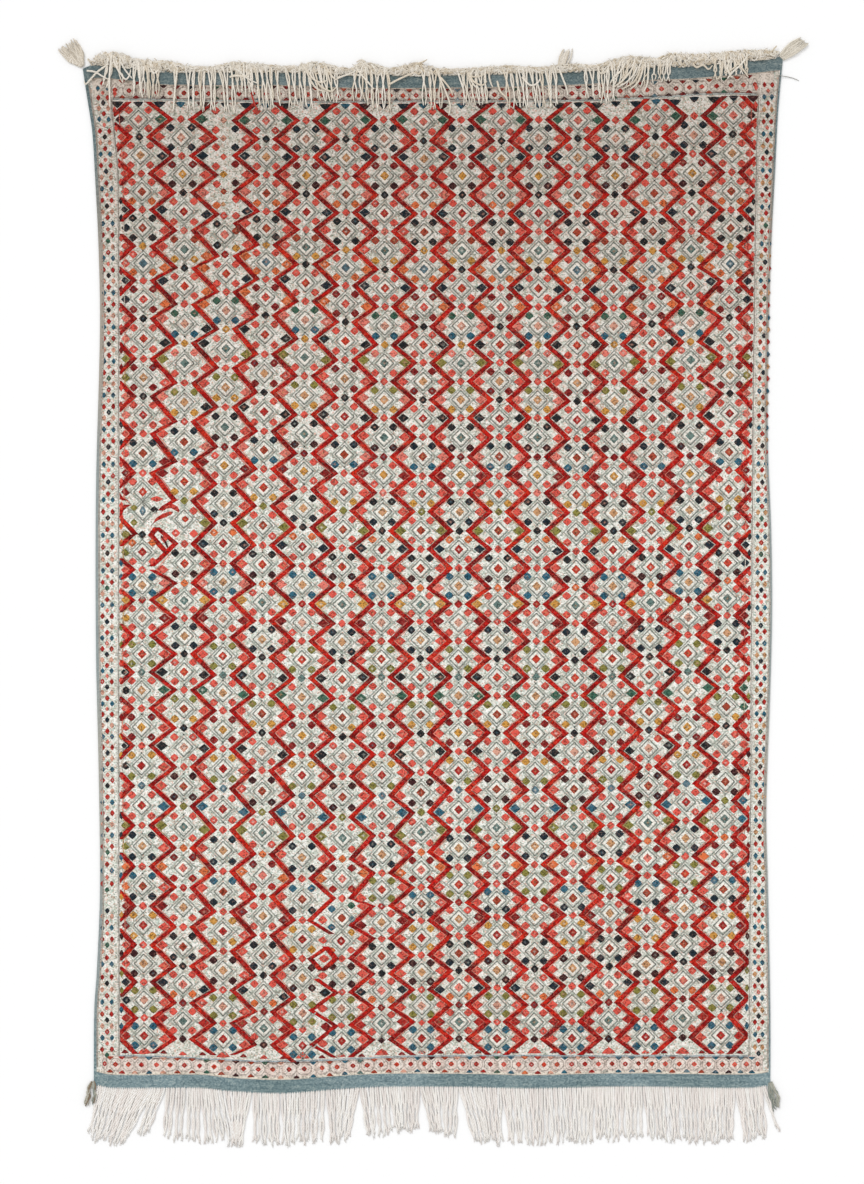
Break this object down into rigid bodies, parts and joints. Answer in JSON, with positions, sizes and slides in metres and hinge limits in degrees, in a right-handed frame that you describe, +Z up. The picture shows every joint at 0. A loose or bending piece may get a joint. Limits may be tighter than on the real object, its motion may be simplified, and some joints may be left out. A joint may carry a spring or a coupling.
{
  "type": "berber rug",
  "caption": "Flat-woven wool floor rug with zigzag and lozenge bands, a patterned border, blue end bands and a knotted cream fringe at each end, laid flat.",
  "frame": {"origin": "centre of the underside of the rug's bounding box, on the floor", "axes": "+Y along the rug's length towards its head, where the fringe falls back over the face; +X to the right seen from above; +Z up"},
  "size_m": [1.6872, 2.5046, 0.0145],
  "materials": {
    "woven_wool": "matte hand-woven wool",
    "warp_yarn": "matte twisted wool yarn",
    "selvedge_cord": "matte twisted wool cord"
  },
  "bodies": {
    "root": {"rug_cloth": "woven_wool", "top_fringe": "warp_yarn", "bottom_fringe": "warp_yarn", "corner_tassel_top_left": "warp_yarn", "corner_tassel_top_right": "warp_yarn", "corner_tassel_bottom_left": "selvedge_cord", "corner_tassel_bottom_right": "selvedge_cord"}
  },
  "joints": []
}
